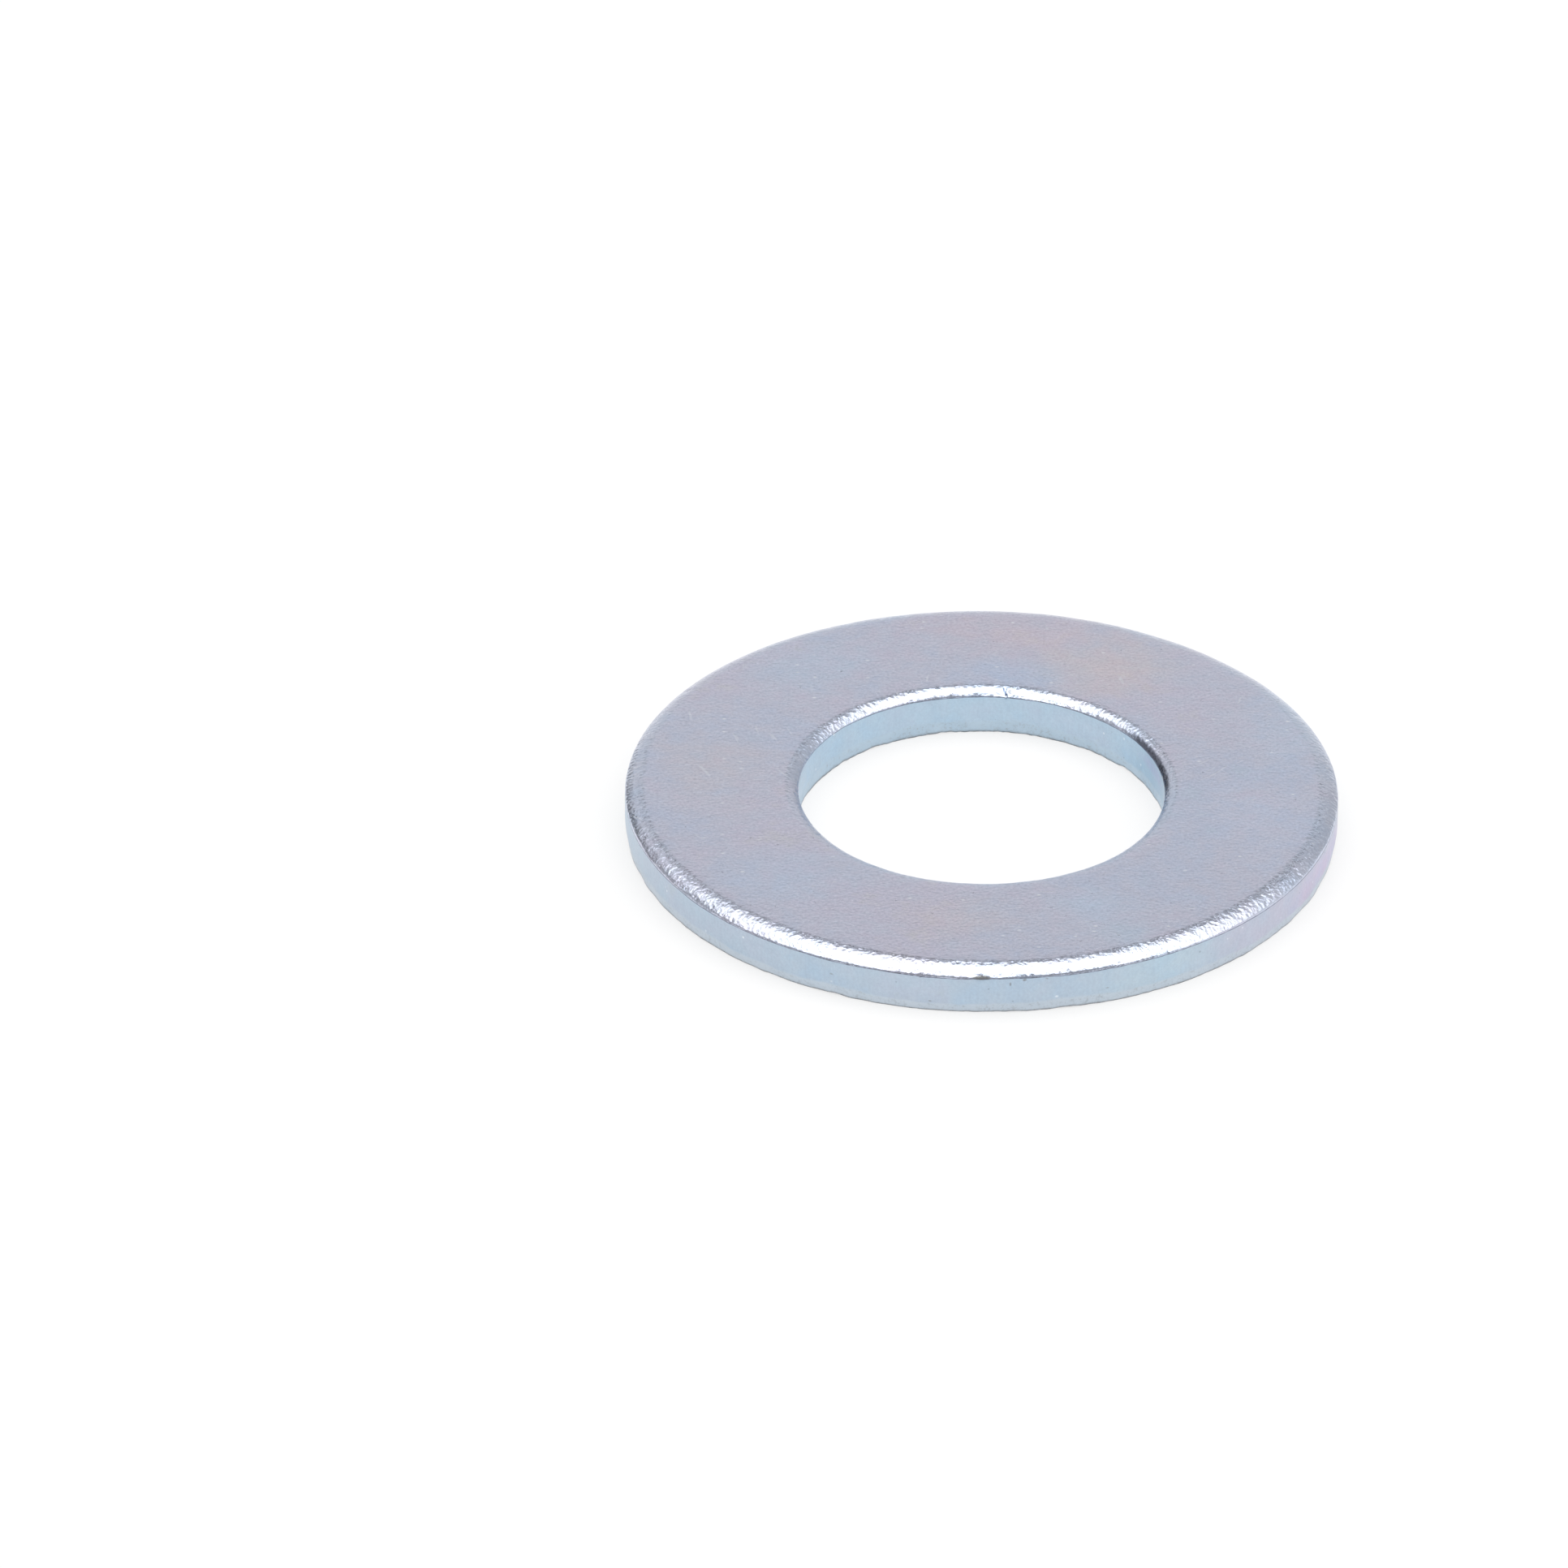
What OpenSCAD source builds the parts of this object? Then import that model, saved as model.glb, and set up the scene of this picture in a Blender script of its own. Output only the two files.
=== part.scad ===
// Plain flat washer, stamped from sheet steel and zinc plated.
// The ring lies flat, centred on Z, with its cut (burr) side on Z = 0 and the
// side with the drawn-in, rounded edges on top. All lengths are in millimetres.

/* [Ring] */
// Outside diameter
outer_d = 12.5; // [11.5:0.1:14]
// Diameter of the bolt hole
hole_d = 6.4; // [5.5:0.1:7]
// Thickness of the sheet
thickness = 0.85; // [0.7:0.05:1.6]

/* [Rounded top edges] */
// Radial width of the rounding round the outside
outer_roll_w = 0.4; // [0.2:0.02:0.5]
// Depth of the rounding round the outside
outer_roll_h = 0.18; // [0.08:0.01:0.2]
// Radial width of the rounding round the hole
hole_roll_w = 0.26; // [0.2:0.02:0.5]
// Depth of the rounding round the hole
hole_roll_h = 0.14; // [0.08:0.01:0.2]

/* [Torn lower edge] */
// Height of the torn band at the foot of the outside wall
break_h = 0.24; // [0.1:0.02:0.3]
// How far the torn band leans inwards at the bottom
break_in = 0.05; // [0.01:0.01:0.1]

/* [Finish] */
// Colour of the zinc plating, as red, green and blue
plating = [0.69, 0.73, 0.79]; // [0:0.01:1]

/* [Hidden] */
$fn = 128;

outer_r = outer_d / 2;
hole_r = hole_d / 2;

// Radius of an arc that leaves the top face smoothly and has fallen h
// after running w sideways.
function roll_r(w, h) = (w * w + h * h) / (2 * h);

// Half section of one rounded corner. It starts at x = 0, where it is level
// with the top face, and falls by h at x = w.
module rounded_corner(w, h, t) {
    r = roll_r(w, h);
    intersection() {
        translate([0, t - r]) circle(r = r);
        translate([0, t - h - (t - h) / 4]) square([w, h + (t - h) / 4]);
    }
}

// Half section of the ring, in the X-Z plane as rotate_extrude takes it.
module section() {
    // flat land between the two rounded corners
    translate([hole_r + hole_roll_w, 0])
        square([outer_r - outer_roll_w - hole_r - hole_roll_w, thickness]);
    // band under the corner round the hole, with the straight hole wall
    translate([hole_r, 0])
        square([hole_roll_w, thickness - hole_roll_h]);
    // band under the outside corner, leaning in at its torn foot
    polygon([
        [outer_r - outer_roll_w, 0],
        [outer_r - break_in, 0],
        [outer_r, break_h],
        [outer_r, thickness - outer_roll_h],
        [outer_r - outer_roll_w, thickness - outer_roll_h]
    ]);
    // the two rounded corners
    translate([outer_r - outer_roll_w, 0])
        rounded_corner(outer_roll_w, outer_roll_h, thickness);
    translate([hole_r + hole_roll_w, 0])
        mirror([1, 0]) rounded_corner(hole_roll_w, hole_roll_h, thickness);
}

// The washer is one stamped piece.
module washer() {
    color(plating) rotate_extrude() section();
}

washer();
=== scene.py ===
import math

import bpy
import numpy as np
from mathutils import Matrix, Vector


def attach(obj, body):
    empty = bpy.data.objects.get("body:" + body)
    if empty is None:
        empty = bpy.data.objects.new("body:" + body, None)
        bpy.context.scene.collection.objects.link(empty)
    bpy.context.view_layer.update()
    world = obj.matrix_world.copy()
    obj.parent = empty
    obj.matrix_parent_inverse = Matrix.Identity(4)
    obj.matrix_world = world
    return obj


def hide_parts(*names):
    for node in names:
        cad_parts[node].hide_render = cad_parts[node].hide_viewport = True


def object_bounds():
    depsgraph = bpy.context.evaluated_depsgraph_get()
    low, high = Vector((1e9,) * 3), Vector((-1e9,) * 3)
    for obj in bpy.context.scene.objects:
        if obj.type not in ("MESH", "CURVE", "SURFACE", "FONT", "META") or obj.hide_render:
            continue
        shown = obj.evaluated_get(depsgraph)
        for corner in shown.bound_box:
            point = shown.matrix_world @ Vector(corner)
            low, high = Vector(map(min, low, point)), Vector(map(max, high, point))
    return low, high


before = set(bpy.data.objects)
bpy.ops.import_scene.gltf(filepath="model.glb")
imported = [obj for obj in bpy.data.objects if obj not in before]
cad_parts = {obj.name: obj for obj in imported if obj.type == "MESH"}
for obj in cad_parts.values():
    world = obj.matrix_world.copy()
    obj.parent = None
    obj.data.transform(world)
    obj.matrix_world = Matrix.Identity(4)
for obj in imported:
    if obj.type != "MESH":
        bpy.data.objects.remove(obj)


def plain(box):
    return [[float(v) for v in corner] for corner in box]


cad_box = plain(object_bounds())
rng = np.random.default_rng(6125)
MM = 0.001

# ---------------------------------------------------------------------------
# Sizes in millimetres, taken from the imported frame
# ---------------------------------------------------------------------------
lo, hi = cad_box
OUTER_R = min(hi[0], hi[1], -lo[0], -lo[1]) * 1000 - 0.0006
TOP = hi[2] * 1000
FOOT = lo[2] * 1000
HOLE_R = 3.2

# ---------------------------------------------------------------------------
# Smooth random numbers that close up round the ring
# ---------------------------------------------------------------------------
NA = 1040                                   # steps round the ring
theta = np.linspace(0, 2 * np.pi, NA, endpoint=False)


def ring_noise(knots):
    """Smooth noise round the ring, about -1 to 1, with this many knots."""
    v = rng.uniform(-1, 1, knots)
    t = theta / (2 * np.pi) * knots
    i = np.floor(t).astype(int)
    f = t - i
    p = [v[(i + k) % knots] for k in (-1, 0, 1, 2)]
    return p[1] + 0.5 * f * (p[2] - p[0] + f * (2 * p[0] - 5 * p[1] + 4 * p[2] - p[3] + f * (3 * (p[1] - p[2]) + p[3] - p[0])))


def band_noise(knots, rows, levels):
    """Noise on a band of the surface: round the ring and along rows."""
    v = np.stack([ring_noise(knots) for _ in range(levels)])
    t = np.linspace(0, levels - 1, rows)
    i = np.clip(np.floor(t).astype(int), 0, levels - 2)
    f = (t - i)[:, None]
    f = f * f * (3 - 2 * f)
    return v[i] * (1 - f) + v[i + 1] * f


def smooth(a, b, x):
    t = np.clip((x - a) / (b - a), 0, 1)
    return t * t * (3 - 2 * t)


def bump_at(az_deg, width_mm, radius):
    """A bell round one azimuth, its width measured along the ring."""
    d = (theta - math.radians(az_deg) + np.pi) % (2 * np.pi) - np.pi
    return np.exp(-(d * radius / width_mm) ** 2)


# ---------------------------------------------------------------------------
# The section, walked from the foot of the outside wall, up, over the top,
# down the hole and back underneath. Each row is one ring of points.
# ---------------------------------------------------------------------------
rows_r, rows_z, rows_wall, rows_roll, rows_torn, rows_foot = [], [], [], [], [], []


def row(r, z, wall=0.0, roll=0.0, torn=0.0, foot=0.0):
    one = np.ones(NA)
    rows_r.append(r * one)
    rows_z.append(z * one)
    rows_wall.append(wall * one)
    rows_roll.append(roll * one)
    rows_torn.append(torn * one)
    rows_foot.append(foot * one)


def corner_curve(big_r, tilt_end, small_r, n_big, n_small):
    """Drawn-in edge: a wide arc from level to tilt_end, then a tight one to upright.
    Gives (sideways, down, tilt) from the top face outwards."""
    out = []
    for k in range(n_big + 1):
        a = tilt_end * (k / n_big)
        out.append((big_r * math.sin(a), big_r * (1 - math.cos(a)), a))
    w0 = big_r * math.sin(tilt_end) - small_r * math.sin(tilt_end)
    h0 = big_r * (1 - math.cos(tilt_end)) + small_r * math.cos(tilt_end)
    for k in range(1, n_small + 1):
        a = tilt_end + (math.pi / 2 - tilt_end) * k / n_small
        out.append((w0 + small_r * math.sin(a), h0 - small_r * math.cos(a), a))
    return out


outer_curve = corner_curve(0.530, math.radians(41), 0.066, 12, 8)
inner_curve = corner_curve(0.340, math.radians(45), 0.046, 10, 6)
outer_w, outer_h = outer_curve[-1][:2]
inner_w, inner_h = inner_curve[-1][:2]

# wobble of the lines that run round the ring
outer_line = 0.007 * ring_noise(26) + 0.006 * ring_noise(90) + 0.003 * ring_noise(330)
inner_line = 0.006 * ring_noise(18) + 0.005 * ring_noise(60) + 0.003 * ring_noise(220)
outer_fall = 0.020 * ring_noise(14) + 0.012 * ring_noise(70) + 0.006 * ring_noise(300)
inner_fall = 0.012 * ring_noise(10) + 0.008 * ring_noise(46) + 0.004 * ring_noise(200)
# the sheared wall ends and the torn band starts on a wandering line
outer_tear = 0.22 + 0.035 * ring_noise(20) + 0.03 * ring_noise(70) + 0.012 * ring_noise(260)
inner_tear = 0.27 + 0.045 * ring_noise(12) + 0.03 * ring_noise(44) + 0.014 * ring_noise(170)
# small chips and burr along the bottom edges, always above the floor
outer_chip = np.clip(0.35 + 0.7 * ring_noise(110) + 0.55 * ring_noise(360), 0, 1.5) * 0.011
outer_chip += 0.014 * smooth(0.55, 1.0, ring_noise(60))
inner_chip = np.clip(0.35 + 0.7 * ring_noise(70) + 0.55 * ring_noise(240), 0, 1.5) * 0.014
inner_chip += 0.020 * smooth(0.5, 1.0, ring_noise(40))
outer_lean = 0.034 + 0.010 * ring_noise(30) + 0.008 * ring_noise(150)
inner_lean = 0.018 + 0.010 * ring_noise(22) + 0.006 * ring_noise(100)

Z = FOOT + 0.0
# --- foot of the outside wall: tiny broken edge, torn band, sheared wall
N_TORN = 9
torn_o = band_noise(300, N_TORN + 1, 5) * 0.6 + band_noise(90, N_TORN + 1, 4) * 0.6
for k in range(N_TORN + 1):
    t = k / N_TORN
    z = Z + outer_chip + (outer_tear - outer_chip) * t
    lean = outer_lean * (1 - t) ** 1.4
    rough = 0.0040 * torn_o[k] * math.sin(math.pi * min(1, 0.12 + t * 0.88)) ** 0.7
    row(OUTER_R - 0.0045 - lean - np.abs(rough) + 0.002 * rough, z, wall=1, torn=1 - smooth(0.75, 1.0, t), foot=max(0, 1 - 6 * t))
N_SHEAR = 8
shear_top = TOP - outer_h + outer_line
ripple_o = ring_noise(420) * 0.0011 + ring_noise(150) * 0.0012
for k in range(1, N_SHEAR):
    t = k / N_SHEAR
    z = Z + outer_tear + (shear_top - Z - outer_tear) * t
    row(OUTER_R - 0.0024 + ripple_o * (1 - 0.3 * t), z, wall=1)
# --- rounded outside corner, from the wall up to the flat
last = len(outer_curve) - 1
for k in range(last, -1, -1):
    w, h, a = outer_curve[k]
    s = a / (math.pi / 2)
    line = outer_line * smooth(0.35, 1.0, s)
    fall = outer_fall * (1 - smooth(0.0, 0.75, s))
    r = OUTER_R - 0.0024 + ripple_o * 0.7 * smooth(0.6, 1.0, s) - outer_w + w + fall
    row(r, TOP - h + line, wall=smooth(0.80, 1.0, s), roll=1 - smooth(0.80, 1.0, s) - (1 - smooth(0.0, 0.10, s)))
# --- flat top
flat_o = OUTER_R - 0.0024 - outer_w
flat_i = HOLE_R + 0.004 + inner_w
N_FLAT = 16
for k in range(1, N_FLAT):
    t = k / N_FLAT
    t = t + 0.10 * math.sin(2 * math.pi * t) / (2 * math.pi) * -1
    r = flat_o + outer_fall + (flat_i - inner_fall - flat_o - outer_fall) * t
    row(r, TOP)
# --- rounded corner of the hole
ripple_i = ring_noise(230) * 0.0010 + ring_noise(90) * 0.0011
for k in range(len(inner_curve)):
    w, h, a = inner_curve[k]
    s = a / (math.pi / 2)
    line = inner_line * smooth(0.35, 1.0, s)
    fall = inner_fall * (1 - smooth(0.0, 0.75, s))
    r = HOLE_R + 0.004 + inner_w - w - fall - ripple_i * 0.7 * smooth(0.6, 1.0, s)
    row(r, TOP - h + line, wall=smooth(0.80, 1.0, s), roll=1 - smooth(0.80, 1.0, s) - (1 - smooth(0.0, 0.10, s)))
# --- sheared wall of the hole, then its torn band
hole_top = TOP - inner_h + inner_line
for k in range(1, N_SHEAR):
    t = k / N_SHEAR
    z = hole_top + (Z + inner_tear - hole_top) * t
    row(HOLE_R + 0.004 - ripple_i * (0.7 + 0.3 * t), z, wall=1)
torn_i = band_noise(190, N_TORN + 1, 5) * 0.6 + band_noise(60, N_TORN + 1, 4) * 0.6
for k in range(N_TORN + 1):
    t = k / N_TORN
    z = Z + inner_tear + (inner_chip - inner_tear) * t
    lean = inner_lean * t ** 1.4
    rough = 0.0038 * torn_i[k] * math.sin(math.pi * min(1, t * 0.88)) ** 0.7 if t > 0 else 0 * torn_i[k]
    row(HOLE_R + 0.004 + lean + np.abs(rough), z, wall=1, torn=smooth(0.0, 0.25, t), foot=max(0, 6 * t - 5))
# --- underside: a faint broken edge at each side of the flat
foot_i = rows_r[-1].copy()
foot_o = rows_r[0].copy()
chip_i, chip_o = rows_z[-1] - Z, rows_z[0] - Z
row(foot_i + 0.006 + chip_i * 0.9, Z + chip_i * 0.25, wall=0.4, torn=0.7, foot=1)
row(foot_i + 0.020 + chip_i * 2.2, Z, torn=0.3)
for t in (0.12, 0.30, 0.5, 0.70, 0.88):
    row(foot_i + 0.05 + (foot_o - foot_i - 0.1) * t, Z)
row(foot_o - 0.020 - chip_o * 2.2, Z, torn=0.3)
row(foot_o - 0.006 - chip_o * 0.9, Z + chip_o * 0.25, wall=0.4, torn=0.7, foot=1)

R = np.array(rows_r)
Zs = np.array(rows_z)
WALL = np.clip(np.array(rows_wall), 0, 1)
ROLL = np.clip(np.array(rows_roll), 0, 1)
TORN = np.clip(np.array(rows_torn), 0, 1)
FOOT_LINE = np.clip(np.array(rows_foot), 0, 1)
NP = R.shape[0]

# ---------------------------------------------------------------------------
# Knocks: small dents pressed into the corners and the top
# (azimuth in degrees, radius, height, size round, size across, depth)
# ---------------------------------------------------------------------------
knocks = [
    (82.2, 3.31, 0.81, 0.024, 0.08, 0.026),
    (81.6, 3.22, 0.76, 0.024, 0.05, 0.026),
    (80.6, 3.28, 0.81, 0.030, 0.04, 0.020),
    (-90.7, 6.235, 0.700, 0.130, 0.030, 0.014),
    (-85.0, 6.235, 0.655, 0.045, 0.035, 0.010),
    (-118.0, 6.20, 0.70, 0.060, 0.04, 0.008),
    (-60.0, 6.20, 0.70, 0.050, 0.05, 0.012),
    (24.0, 6.10, 0.80, 0.090, 0.07, 0.012),
    (148.0, 6.12, 0.80, 0.080, 0.07, 0.016),
    (196.0, 6.15, 0.78, 0.070, 0.06, 0.014),
    (128.0, 3.28, 0.80, 0.050, 0.06, 0.014),
    (-150.0, 3.30, 0.82, 0.060, 0.06, 0.012),
    (-30.0, 3.30, 0.82, 0.050, 0.05, 0.010),
]
for _ in range(26):
    az = rng.uniform(0, 360)
    side = rng.uniform() < 0.6
    rr, zz = (6.15, 0.76) if side else (3.28, 0.78)
    knocks.append((az, rr + rng.uniform(-0.08, 0.05), zz + rng.uniform(-0.06, 0.06),
                   rng.uniform(0.03, 0.09), rng.uniform(0.03, 0.06), rng.uniform(0.003, 0.009)))
# outward normal of the section, from its own neighbours
dr = np.roll(R, -1, 0) - np.roll(R, 1, 0)
dz = np.roll(Zs, -1, 0) - np.roll(Zs, 1, 0)
ln = np.hypot(dr, dz) + 1e-9
nr, nz = dz / ln, -dr / ln
push = np.zeros_like(R)
for az, rr, zz, wr, wa, depth in knocks:
    across = np.exp(-(((R - rr) ** 2 + (Zs - zz) ** 2) / wa ** 2))
    push = np.maximum(push, depth * bump_at(az, wr, rr)[None, :] * across)
R = R - nr * push
Zs = Zs - nz * push
Zs = np.clip(Zs, Z, TOP)
R = np.minimum(R, OUTER_R)

# ---------------------------------------------------------------------------
# One closed mesh from the rings
# ---------------------------------------------------------------------------
X = R * np.cos(theta)[None, :] * MM
Y = R * np.sin(theta)[None, :] * MM
co = np.stack([X, Y, Zs * MM], -1).reshape(-1, 3)
ii, jj = np.meshgrid(np.arange(NP), np.arange(NA), indexing="ij")
i2, j2 = (ii + 1) % NP, (jj + 1) % NA
quads = np.stack([ii * NA + jj, ii * NA + j2, i2 * NA + j2, i2 * NA + jj], -1).reshape(-1, 4)
me = bpy.data.meshes.new("washer_skin")
me.vertices.add(len(co))
me.vertices.foreach_set("co", co.astype(np.float32).ravel())
me.loops.add(quads.size)
me.loops.foreach_set("vertex_index", quads.astype(np.int32).ravel())
me.polygons.add(len(quads))
me.polygons.foreach_set("loop_start", np.arange(0, quads.size, 4, dtype=np.int32))
me.polygons.foreach_set("loop_total", np.full(len(quads), 4, dtype=np.int32))
me.update(calc_edges=True)
me.validate()
me.polygons.foreach_set("use_smooth", np.ones(len(me.polygons), dtype=bool))
for name, data in (("wall", WALL), ("roll", ROLL), ("torn", TORN), ("foot", FOOT_LINE)):
    at = me.attributes.new(name, "FLOAT", "POINT")
    at.data.foreach_set("value", data.astype(np.float32).ravel())
me.update()
skin = bpy.data.objects.new("washer_skin", me)
bpy.context.scene.collection.objects.link(skin)


# ---------------------------------------------------------------------------
# Node helpers
# ---------------------------------------------------------------------------
class Nodes:
    def __init__(self, tree):
        self.t = tree
        tree.nodes.clear()

    def new(self, kind, **props):
        n = self.t.nodes.new(kind)
        for k, v in props.items():
            setattr(n, k, v)
        return n

    def put(self, socket, v):
        if isinstance(v, bpy.types.NodeSocket):
            self.t.links.new(v, socket)
        else:
            socket.default_value = v

    def math(self, op, a, b=None, c=None, clamp=False):
        n = self.new("ShaderNodeMath", operation=op, use_clamp=clamp)
        for s, v in zip(n.inputs, (a, b, c)):
            if v is not None:
                self.put(s, v)
        return n.outputs[0]

    def vec(self, op, a, b=None, scale=None):
        n = self.new("ShaderNodeVectorMath", operation=op)
        self.put(n.inputs[0], a)
        if b is not None:
            self.put(n.inputs[1], b)
        if scale is not None:
            self.put(n.inputs["Scale"], scale)
        return n.outputs["Value"] if op in ("LENGTH", "DOT_PRODUCT", "DISTANCE") else n.outputs["Vector"]

    def split(self, v):
        n = self.new("ShaderNodeSeparateXYZ")
        self.put(n.inputs[0], v)
        return n.outputs[0], n.outputs[1], n.outputs[2]

    def join(self, x, y, z):
        n = self.new("ShaderNodeCombineXYZ")
        for s, v in zip(n.inputs, (x, y, z)):
            self.put(s, v)
        return n.outputs[0]

    def noise(self, v, scale, detail=2.0, rough=0.5, dist=0.0):
        n = self.new("ShaderNodeTexNoise")
        n.noise_dimensions = "3D"
        self.put(n.inputs["Vector"], v)
        n.inputs["Scale"].default_value = scale
        n.inputs["Detail"].default_value = detail
        n.inputs["Roughness"].default_value = rough
        n.inputs["Distortion"].default_value = dist
        return n.outputs["Fac"]

    def cells(self, v, scale, randomness=1.0):
        n = self.new("ShaderNodeTexVoronoi")
        n.feature = "F1"
        self.put(n.inputs["Vector"], v)
        n.inputs["Scale"].default_value = scale
        n.inputs["Randomness"].default_value = randomness
        return n.outputs["Distance"], n.outputs["Color"]

    def ramp(self, x, a, b, lo=0.0, hi=1.0, kind="SMOOTHSTEP"):
        n = self.new("ShaderNodeMapRange")
        n.interpolation_type = kind
        self.put(n.inputs["Value"], x)
        n.inputs["From Min"].default_value = a
        n.inputs["From Max"].default_value = b
        n.inputs["To Min"].default_value = lo
        n.inputs["To Max"].default_value = hi
        return n.outputs[0]

    def mix(self, fac, a, b, mode="MIX"):
        n = self.new("ShaderNodeMix", data_type="RGBA", blend_type=mode)
        self.put(n.inputs[0], fac)
        self.put(n.inputs[6], a)
        self.put(n.inputs[7], b)
        return n.outputs[2]

    def attr(self, name):
        n = self.new("ShaderNodeAttribute", attribute_type="GEOMETRY", attribute_name=name)
        return n.outputs["Fac"]

    def add(self, *terms):
        out = terms[0]
        for t in terms[1:]:
            out = self.math("ADD", out, t)
        return out

    def mul(self, *terms):
        out = terms[0]
        for t in terms[1:]:
            out = self.math("MULTIPLY", out, t)
        return out


def rgb(r, g, b):
    return (r, g, b, 1.0)


# ---------------------------------------------------------------------------
# Zinc plating
# ---------------------------------------------------------------------------
mat = bpy.data.materials.new("zinc_plate")
mat.use_nodes = True
N = Nodes(mat.node_tree)
P = N.vec("SCALE", N.new("ShaderNodeTexCoord").outputs["Object"], scale=1000.0)   # millimetres
px, py, pz = N.split(P)
flat_p = N.join(px, py, 0.0)
rad = N.vec("LENGTH", flat_p)
spoke = N.vec("NORMALIZE", flat_p)
wall, roll, torn = N.attr("wall"), N.attr("roll"), N.attr("torn")
level = N.math("SUBTRACT", 1.0, N.math("MAXIMUM", wall, roll), clamp=True)

# coordinates that stay the same along a spoke, for streaks down the corners
sx, sy, _ = N.split(N.vec("SCALE", spoke, scale=5.0))
spoke_p = N.join(sx, sy, N.math("MULTIPLY", N.math("SUBTRACT", rad, pz), 0.35))
# coordinates drawn out upwards, for the shear marks in the walls
shear_p = N.join(px, py, N.math("MULTIPLY", pz, 0.07))

# --- heights in millimetres
g_fine = N.noise(P, 27.0, 3.0, 0.65)
g_mid = N.noise(P, 12.0, 2.0, 0.6)
g_wide = N.noise(P, 1.7, 2.0, 0.5)
g_streak = N.noise(spoke_p, 15.0, 2.0, 0.6)
g_shear = N.noise(shear_p, 22.0, 3.0, 0.65)
g_torn = N.noise(P, 13.0, 4.0, 0.65)
g_facet, _ = N.cells(P, 12.5)

pit_d, pit_c = N.cells(P, 4.4)
pit_r, pit_g, pit_b = N.split(pit_c)
pit_pick = N.math("LESS_THAN", pit_r, 0.30)
pit_size = N.math("MULTIPLY_ADD", pit_g, 0.075, 0.050)
pit = N.mul(N.math("SUBTRACT", 1.0, N.math("DIVIDE", pit_d, pit_size), clamp=True), pit_pick)



def mid(x):
    return N.math("SUBTRACT", x, 0.5)


height = N.add(
    N.mul(mid(g_fine), N.math("MULTIPLY_ADD", roll, 0.0036, 0.0014)),
    N.mul(mid(g_mid), N.math("MULTIPLY_ADD", roll, 0.0050, 0.0027)),
    N.mul(g_wide, 0.0012),
    N.mul(mid(g_streak), roll, 0.0044),
    N.mul(mid(g_facet), N.math("MULTIPLY_ADD", roll, 0.0056, 0.0018)),
    N.mul(g_shear, wall, 0.0012),
    N.mul(g_torn, torn, 0.0060),
    N.mul(pit, -0.0030),
)


# --- hairline scratches: thin stretched noise in a few directions
def scratches(angle, scale, length, limit, seed):
    c, s = math.cos(math.radians(angle)), math.sin(math.radians(angle))
    along = N.add(N.mul(px, c), N.mul(py, s))
    across = N.add(N.mul(px, -s), N.mul(py, c))
    v = N.join(N.mul(along, 1.0 / length), across, seed)
    n = N.noise(v, scale, 1.0, 0.4)
    gate = N.ramp(N.noise(N.join(along, across, seed + 4.0), 1.6, 2.0, 0.6), 0.50, 0.68)
    return N.mul(N.ramp(n, limit, limit + 0.06), gate)


scr = N.add(scratches(11, 19.0, 4.5, 0.72, 1.3), N.mul(scratches(-24, 21.0, 6.0, 0.72, 7.7), 0.7),
            N.mul(scratches(63, 20.0, 5.0, 0.73, 3.1), 0.5))
# and round scratches, drawn along arcs about a point off the centre
ar = N.vec("LENGTH", N.vec("SUBTRACT", P, (1.2, 3.4, 0.85)))
arc_gate = N.ramp(N.noise(P, 0.8, 1.0, 0.5), 0.55, 0.66)
arc = N.mul(N.ramp(N.noise(N.join(N.mul(ar, 1.0), N.mul(px, 0.10), N.mul(py, 0.10)), 15.0, 1.0, 0.4), 0.69, 0.74), arc_gate)
scr = N.mul(N.add(scr, arc), N.math("SUBTRACT", 1.0, wall, clamp=True))
height = N.add(height, N.mul(scr, -0.0007))

bump = N.new("ShaderNodeBump")
bump.inputs["Strength"].default_value = 1.0
bump.inputs["Distance"].default_value = 0.001
N.put(bump.inputs["Height"], height)

# --- colour
upright = N.math("MAXIMUM", wall, N.mul(roll, 0.25))
inside = N.ramp(rad, 4.4, 3.7)
wall_tone = N.mix(inside, rgb(0.474, 0.568, 0.664), rgb(0.464, 0.592, 0.704))
base = N.mix(upright, rgb(0.645, 0.668, 0.794), wall_tone)
# drifting film colours of the passivation, in large soft patches
film = N.noise(P, 0.42, 3.0, 0.55, 0.6)
film_ramp = N.new("ShaderNodeValToRGB")
els = film_ramp.color_ramp.elements
els[0].position, els[0].color = 0.30, rgb(1.035, 1.000, 0.930)
els[1].position, els[1].color = 0.72, rgb(0.925, 1.010, 1.030)
for pos, c in ((0.42, rgb(1.030, 0.985, 1.000)), (0.52, rgb(1.000, 1.000, 1.010)), (0.62, rgb(0.955, 0.995, 1.035))):
    e = els.new(pos)
    e.color = c
N.put(film_ramp.inputs[0], N.add(N.mul(film, 0.62), N.mul(N.noise(P, 2.3, 3.0, 0.6), 0.38)))
base = N.mix(1.0, base, film_ramp.outputs[0], "MULTIPLY")


def patch(colour, centre, size, amount, base, mask=None):
    """A soft tinted cloud about one point of the surface."""
    d = N.vec("DIVIDE", N.vec("SUBTRACT", P, centre), size)
    d = N.add(N.vec("LENGTH", d), N.mul(N.math("SUBTRACT", N.noise(P, 1.3, 2.0, 0.5), 0.5), 1.1))
    f = N.mul(N.ramp(d, 1.15, 0.10), amount)
    if mask is not None:
        f = N.mul(f, mask)
    return N.mix(f, base, N.mix(1.0, base, colour, "MULTIPLY"))


off_wall = N.math("SUBTRACT", 1.0, wall, clamp=True)
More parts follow.
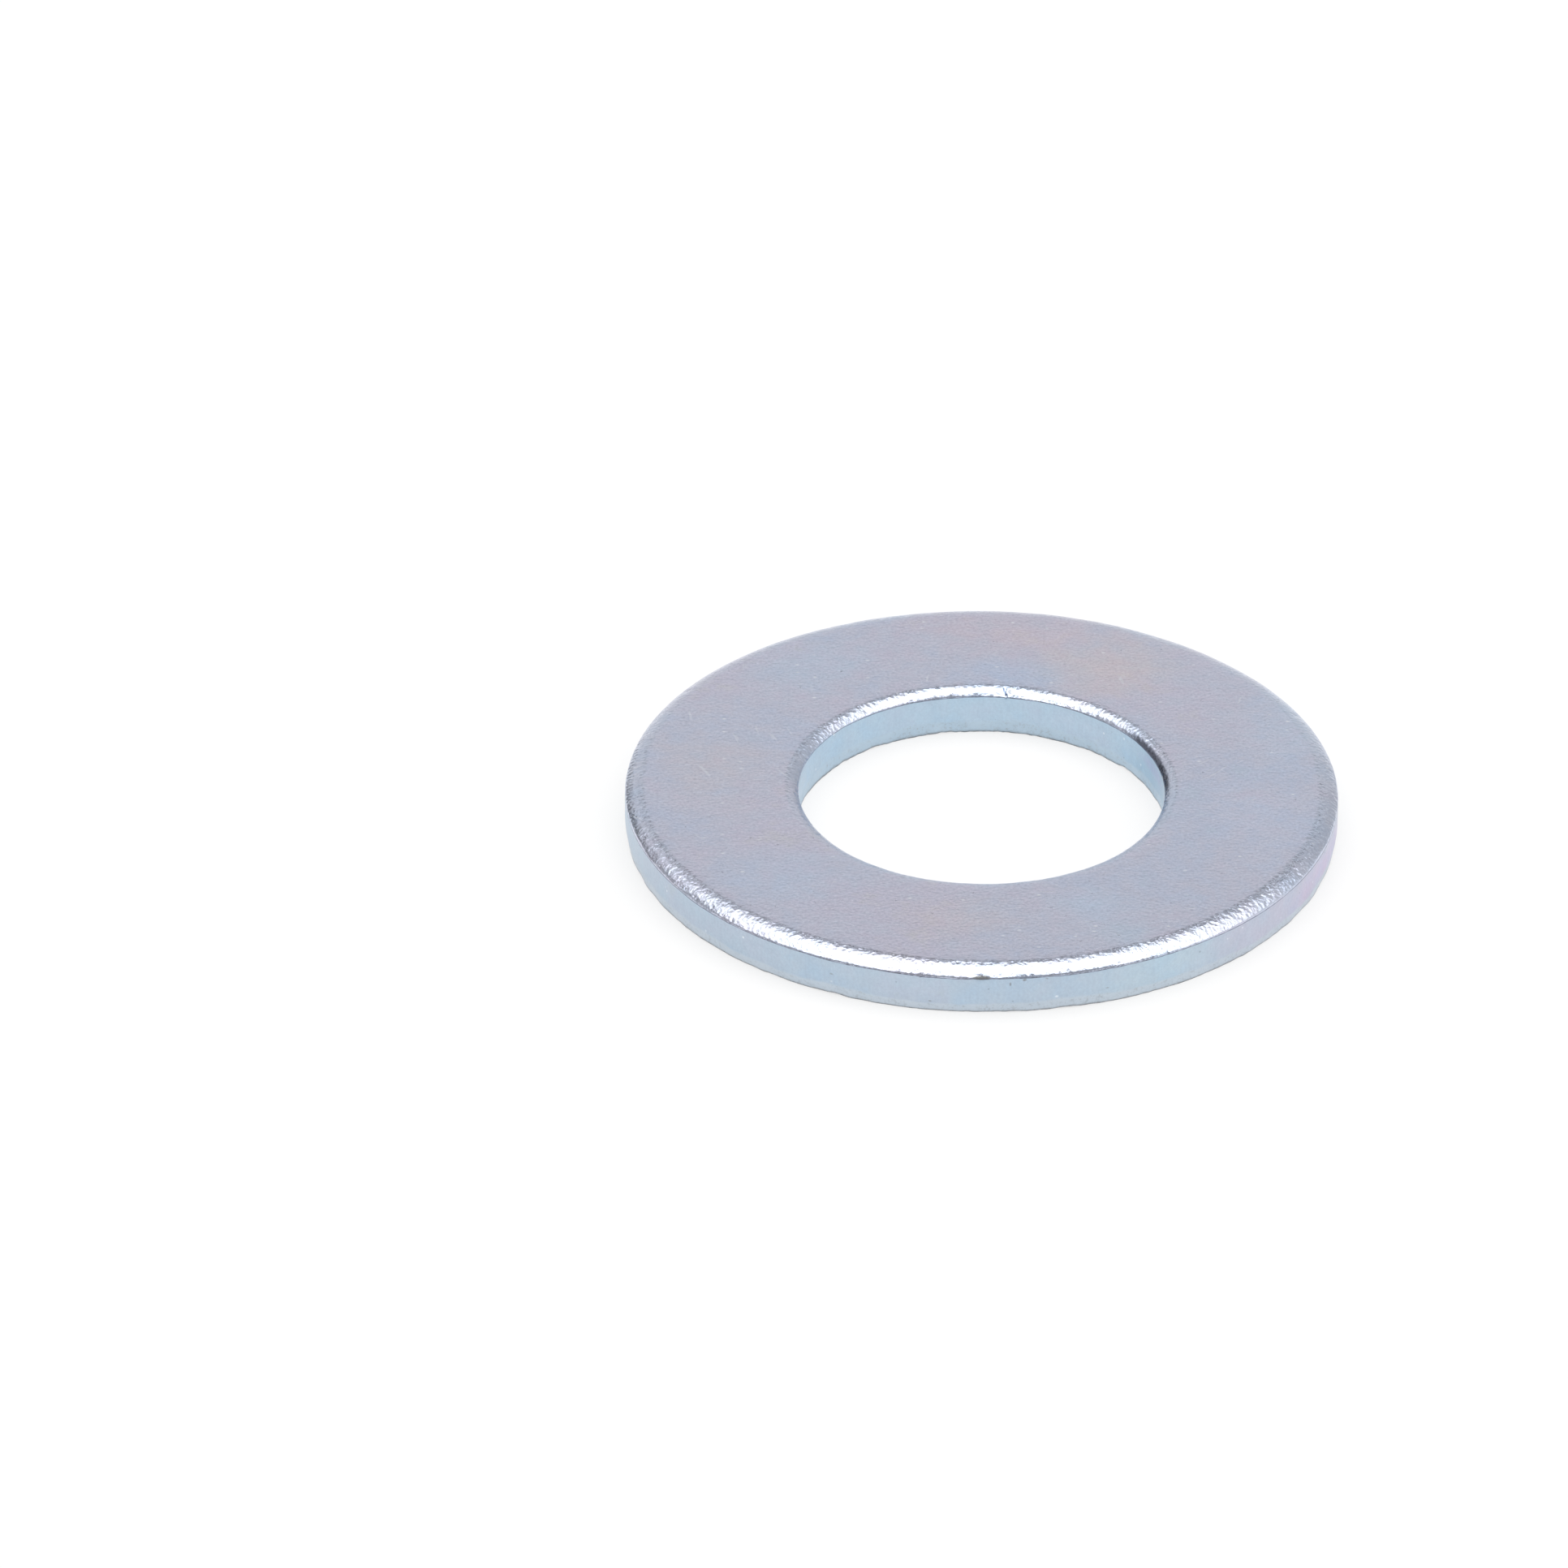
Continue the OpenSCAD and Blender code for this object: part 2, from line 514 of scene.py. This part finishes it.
# warm, lilac and blue clouds on the top
base = patch(rgb(1.10, 1.015, 0.925), (2.25, 4.00, 0.85), (1.5, 1.3, 2.0), 0.90, base, off_wall)
base = patch(rgb(1.075, 0.995, 0.955), (0.80, 5.20, 0.85), (2.2, 0.9, 2.0), 0.85, base, off_wall)
base = patch(rgb(0.94, 1.02, 1.07), (0.70, 3.75, 0.85), (1.3, 0.7, 2.0), 0.90, base, off_wall)
base = patch(rgb(1.005, 1.03, 1.05), (4.90, -1.10, 0.85), (1.0, 1.6, 2.0), 0.90, base, off_wall)
base = patch(rgb(0.985, 1.045, 1.06), (5.40, 1.90, 0.85), (0.9, 1.7, 2.0), 0.90, base, off_wall)
base = patch(rgb(0.95, 1.05, 1.08), (1.85, -4.05, 0.85), (0.9, 0.7, 2.0), 0.90, base, off_wall)
base = patch(rgb(0.93, 1.04, 1.05), (2.40, -4.95, 0.85), (0.7, 0.6, 2.0), 0.75, base, off_wall)
base = patch(rgb(1.06, 1.00, 0.95), (-0.40, -4.50, 0.85), (1.4, 0.9, 2.0), 0.80, base, off_wall)
base = patch(rgb(1.05, 1.00, 0.95), (-4.70, 0.60, 0.85), (1.3, 1.9, 2.0), 0.80, base, off_wall)
base = patch(rgb(0.96, 1.03, 1.06), (-3.30, -3.10, 0.85), (1.3, 1.2, 2.0), 0.80, base, off_wall)
base = patch(rgb(0.95, 1.04, 1.06), (-2.90, 4.10, 0.85), (1.4, 1.1, 2.0), 0.80, base, off_wall)
# lilac and pink on the right of the outside wall; in the hole, pink and a painted dark reflection
outside = N.math("SUBTRACT", 1.0, inside, clamp=True)
base = patch(rgb(1.14, 0.975, 0.985), (5.30, -3.20, 0.45), (2.6, 2.6, 3.0), 0.90, base, N.mul(wall, outside))
base = patch(rgb(1.15, 0.89, 1.00), (6.00, -1.50, 0.34), (1.3, 2.2, 0.42), 0.90, base, N.mul(wall, outside))
base = patch(rgb(1.06, 1.08, 1.04), (3.10, -5.40, 0.50), (1.6, 1.4, 0.8), 0.80, base, N.mul(wall, outside))
# painted dark reflection: the right of the hole wall made darker and bluer, where it faces the dark left side of the
# room
base = patch(rgb(0.72, 0.83, 0.89), (3.10, 0.90, 0.40), (1.1, 1.3, 2.0), 1.0, base, N.mul(wall, inside))
base = patch(rgb(1.05, 0.92, 1.00), (3.05, 1.00, 0.56), (0.7, 0.8, 0.16), 0.90, base, N.mul(wall, inside))
base = patch(rgb(1.08, 0.97, 1.02), (-5.60, 2.60, 0.45), (1.6, 1.9, 1.0), 0.80, base, N.mul(wall, outside))
# dark dabs and a scuffed grey spot along the line above the front wall: painted reflection, darker and greyer tone
# standing in for how the small dents there, also pressed into the mesh, reflect the room; more dark dabs lower on
# the wall and one by the nick in the hole's corner
dark_dab, grey_dab = rgb(0.25, 0.26, 0.28), rgb(0.46, 0.465, 0.47)
for c, sz, am, tone in (((0.424, -6.232, 0.578), (0.019, 0.2, 0.040), 0.75, dark_dab), ((0.668, -6.212, 0.656), (0.042, 0.2, 0.026), 0.85, dark_dab),
                        ((1.050, -6.160, 0.655), (0.030, 0.2, 0.016), 0.55, dark_dab), ((-0.080, -6.235, 0.703), (0.185, 0.2, 0.036), 0.92, grey_dab),
                        ((-0.95, -6.17, 0.20), (0.035, 0.3, 0.016), 0.60, dark_dab), ((2.10, -5.88, 0.30), (0.030, 0.3, 0.020), 0.50, dark_dab),
                        ((-2.65, -5.66, 0.42), (0.040, 0.3, 0.024), 0.50, dark_dab), ((0.535, 3.268, 0.806), (0.034, 0.050, 0.045), 0.85, rgb(0.30, 0.30, 0.31))):
    d = N.vec("LENGTH", N.vec("DIVIDE", N.vec("SUBTRACT", P, c), sz))
    d = N.add(d, N.mul(N.math("SUBTRACT", g_fine, 0.5), 1.6))
    base = N.mix(N.mul(N.ramp(d, 1.1, 0.5), am), base, tone)
# the nick in the hole's corner: dents pressed into the mesh above, and a painted dark line along it for the shade
# inside the cut
nick_a, nick_b = Vector((0.430, 3.327, 0.833)), Vector((0.478, 3.170, 0.752))
nick_n = (nick_b - nick_a).length
nick_u = (nick_b - nick_a).normalized()
rel = N.vec("SUBTRACT", P, tuple(nick_a))
run = N.math("MINIMUM", N.math("MAXIMUM", N.vec("DOT_PRODUCT", rel, tuple(nick_u)), 0.0), nick_n)
off = N.vec("LENGTH", N.vec("SUBTRACT", rel, N.vec("SCALE", tuple(nick_u), scale=run)))
off = N.add(off, N.mul(N.math("SUBTRACT", g_fine, 0.5), 0.016))
nick = N.ramp(off, 0.027, 0.012)
base = N.mix(N.mul(nick, 0.88), base, rgb(0.10, 0.15, 0.26))

# painted dark reflection: a thin dark band along the hole's corner on the right, standing in for the dark side of
# the room mirrored there
dark_band_r = N.add(rad, N.mul(N.math("SUBTRACT", g_fine, 0.5), 0.07))
dark_band_at = N.vec("LENGTH", N.vec("SUBTRACT", flat_p, (3.08, 0.92, 0.0)))
painted_dark_reflection = N.mul(N.ramp(dark_band_at, 1.30, 0.70), N.ramp(dark_band_r, 3.320, 3.258), off_wall, 0.80)
base = N.mix(painted_dark_reflection, base, rgb(0.09, 0.10, 0.14))

# fine mottling, clouding, specks and marks
mott = N.add(N.mul(N.math("SUBTRACT", N.noise(P, 20.0, 3.0, 0.7), 0.5), N.math("MULTIPLY_ADD", wall, -0.14, 0.44)),
             N.mul(N.math("SUBTRACT", N.noise(P, 3.2, 3.0, 0.6), 0.5), 0.10),
             N.mul(N.math("SUBTRACT", g_shear, 0.5), wall, 0.10))
base = N.mix(1.0, base, N.join(N.math("ADD", 1.0, mott), N.math("ADD", 1.0, mott), N.math("ADD", 1.0, N.mul(mott, 0.85))), "MULTIPLY")

spk_d, spk_c = N.cells(N.vec("MULTIPLY", P, (0.6, 1.3, 1.0)), 5.2)
spk_r, spk_g, spk_b = N.split(spk_c)
spk = N.mul(N.ramp(spk_d, 0.16, 0.06), N.ramp(spk_r, 0.78, 0.86), N.math("MULTIPLY_ADD", spk_g, 0.7, 0.3))
base = N.mix(N.mul(spk, 0.95, N.math("SUBTRACT", 1.0, torn)), base, rgb(0.93, 0.96, 1.00))
base = N.mix(N.mul(pit, 0.75), base, rgb(0.22, 0.25, 0.31))
base = N.mix(N.mul(scr, 0.34), base, rgb(0.86, 0.90, 0.97))
# the torn band: duller, browner, speckled, and given a lighter tone that is partly its own and partly painted light
# offsetting the shade it picks up from leaning in
speck = N.noise(P, 17.0, 3.0, 0.7)
torn_fac = N.mul(torn, N.ramp(N.noise(P, 2.2, 2.0, 0.5), 0.35, 0.62, 0.25, 1.0))
base = N.mix(N.mul(torn, 0.75), base, N.mix(inside, rgb(0.600, 0.668, 0.738), rgb(0.515, 0.635, 0.738)))
base = N.mix(N.mul(torn_fac, N.ramp(speck, 0.50, 0.66), 0.45), base, rgb(0.36, 0.40, 0.43))

# painted shade: a thin dark line along the broken edge at the foot, where the edge meets the floor
painted_foot_shade = N.mul(N.attr("foot"), N.ramp(N.noise(P, 9.0, 3.0, 0.65), 0.30, 0.60, 0.45, 0.95))
base = N.mix(painted_foot_shade, base, rgb(0.17, 0.165, 0.165))

# and painted shade: a thin dark line in the tight crease where the corner meets the wall
crease_shade = N.mul(wall, N.math("SUBTRACT", 1.0, wall), 4.0)
crease_shade = N.mul(crease_shade, N.ramp(N.noise(P, 7.0, 3.0, 0.65), 0.34, 0.56, 0.55, 0.95))
base = N.mix(crease_shade, base, rgb(0.12, 0.14, 0.20))

rough = N.add(0.215, N.mul(roll, -0.055), N.mul(N.noise(P, 5.0, 3.0, 0.6), 0.06), N.mul(torn_fac, 0.15), N.mul(wall, 0.07), N.mul(pit, 0.15))

bsdf = N.new("ShaderNodeBsdfPrincipled")
bsdf.inputs["Metallic"].default_value = 1.0
bsdf.inputs["Specular IOR Level"].default_value = 0.5
N.put(bsdf.inputs["Base Color"], base)
N.put(bsdf.inputs["Roughness"], rough)
N.put(bsdf.inputs["Normal"], bump.outputs[0])
out = N.new("ShaderNodeOutputMaterial")
N.put(out.inputs[0], bsdf.outputs[0])

me.materials.append(mat)
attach(skin, "root")
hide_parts("washer")

# ---------------------------------------------------------------------------
# Floor
# ---------------------------------------------------------------------------
fm = bpy.data.meshes.new("floor")
s = 3.0
fm.from_pydata([(-s, -s, 0), (s, -s, 0), (s, s, 0), (-s, s, 0)], [], [(0, 1, 2, 3)])
floor = bpy.data.objects.new("floor", fm)
floor.location.z = lo[2] - 0.000002
bpy.context.scene.collection.objects.link(floor)
fmat = bpy.data.materials.new("floor_paper")
fmat.use_nodes = True
F = Nodes(fmat.node_tree)
fb = F.new("ShaderNodeBsdfDiffuse")
fb.inputs["Color"].default_value = rgb(0.30, 0.30, 0.30)
fe = F.new("ShaderNodeEmission")                     # a light table: the floor glows softly, so shadows stay faint
fe.inputs["Color"].default_value = rgb(1.0, 1.0, 1.0)
fe.inputs["Strength"].default_value = 0.69
fa = F.new("ShaderNodeAddShader")
F.put(fa.inputs[0], fb.outputs[0])
F.put(fa.inputs[1], fe.outputs[0])
fo = F.new("ShaderNodeOutputMaterial")
F.put(fo.inputs[0], fa.outputs[0])
fm.materials.append(fmat)

# ---------------------------------------------------------------------------
# Studio light: one large softbox overhead, and a soft grey room round it with
# a dark flag to the left
# ---------------------------------------------------------------------------
def softbox(x0, x1, y0, y1, z, radiance):
    w, h = x1 - x0, y1 - y0
    ld = bpy.data.lights.new("softbox", "AREA")
    ld.shape = "ELLIPSE"
    ld.size, ld.size_y = w, h
    ld.energy = radiance * w * h * math.pi / 4 * math.pi
    ld.color = (1.0, 1.0, 1.0)
    lo_ = bpy.data.objects.new("softbox", ld)
    lo_.location = ((x0 + x1) / 2, (y0 + y1) / 2, z)
    lo_.visible_camera = False
    bpy.context.scene.collection.objects.link(lo_)
    return lo_


softbox(-0.20, 0.25, -0.15, 0.25, 0.5, 0.25)

world = bpy.data.worlds.new("studio")
bpy.context.scene.world = world
world.use_nodes = True
W = Nodes(world.node_tree)
D = W.vec("NORMALIZE", W.new("ShaderNodeTexCoord").outputs["Generated"])
dx, dy, dz_ = W.split(D)


def toward(az, el, inner, outer):
    """1 within inner degrees of a direction, falling to 0 at outer. az 0 is +Y, turning to +X."""
    a, e = math.radians(az), math.radians(el)
    v = (math.sin(a) * math.cos(e), math.cos(a) * math.cos(e), math.sin(e))
    return W.ramp(W.vec("DOT_PRODUCT", D, v), math.cos(math.radians(outer)), math.cos(math.radians(inner)))


E = W.ramp(dy, -0.35, 0.45, 0.42, 0.76)
# the right of the room is pale, with a darker gap between it and the softbox
E = W.math("MAXIMUM", E, W.ramp(dx, 0.62, 0.85, 0.0, 0.90))
gap = W.mul(W.ramp(dz_, 0.590, 0.660), W.ramp(dz_, 0.87, 0.80), W.ramp(dx, -0.50, -0.28), W.ramp(dx, 0.62, 0.30), W.ramp(dy, 0.2, 0.45))
E = W.mul(E, W.math("MULTIPLY_ADD", gap, -0.86, 1.0))
# small dark flags to the left
dark = W.math("MAXIMUM", W.mul(toward(-66, 31, 5, 15), 0.70), toward(-40, 9, 6, 17))
E = W.mul(E, W.math("MULTIPLY_ADD", dark, -0.94, 1.0))
# and the right of the back wall is greyer low down
E = W.mul(E, W.math("MULTIPLY_ADD", toward(42, 15, 10, 27), -0.25, 1.0))
# the big soft panel overhead, laid out on a plane above the part (slopes across and back)
up_z = W.math("MAXIMUM", dz_, 0.05)
u, v = W.math("DIVIDE", dx, up_z), W.math("DIVIDE", dy, up_z)
panel = W.mul(W.ramp(u, -0.98, -0.86), W.ramp(u, 1.60, 1.42), W.ramp(v, -0.53, -0.45), W.ramp(v, 0.75, 0.67),
              W.ramp(W.add(v, W.mul(u, 0.45)), 0.85, 0.77), W.ramp(dz_, 0.1, 0.2))
E = W.add(E, W.mul(panel, W.math("SUBTRACT", 1.95, E)))
cam_ray = W.new("ShaderNodeLightPath").outputs["Is Camera Ray"]
bg_light = W.new("ShaderNodeBackground")
W.put(bg_light.inputs["Color"], W.join(E, E, W.mul(E, 1.0)))
bg_light.inputs["Strength"].default_value = 1.0
bg_seen = W.new("ShaderNodeBackground")
bg_seen.inputs["Color"].default_value = rgb(1.02, 1.02, 1.02)
mixs = W.new("ShaderNodeMixShader")
W.put(mixs.inputs[0], cam_ray)
W.put(mixs.inputs[1], bg_light.outputs[0])
W.put(mixs.inputs[2], bg_seen.outputs[0])
wo = W.new("ShaderNodeOutputWorld")
W.put(wo.inputs[0], mixs.outputs[0])

# ---------------------------------------------------------------------------
# Camera
# ---------------------------------------------------------------------------
cam_data = bpy.data.cameras.new("camera")
cam_data.sensor_width = 36.0
cam_data.lens = 335.4
cam_data.clip_start = 0.01
cam_data.clip_end = 20.0
cam = bpy.data.objects.new("camera", cam_data)
right = Vector((0.9999884, 0.0, 0.0048077)).normalized()
fwd = Vector((0.00247007, 0.85792615, -0.5137671)).normalized()
up = right.cross(fwd).normalized()
right = fwd.cross(up)
m = Matrix((right, up, -fwd)).transposed().to_4x4()
m.translation = Vector((-0.0040903, -0.2193422, 0.1321861))
cam.matrix_world = m
bpy.context.scene.collection.objects.link(cam)
bpy.context.scene.camera = cam
bpy.context.scene.view_settings.view_transform = "Standard"
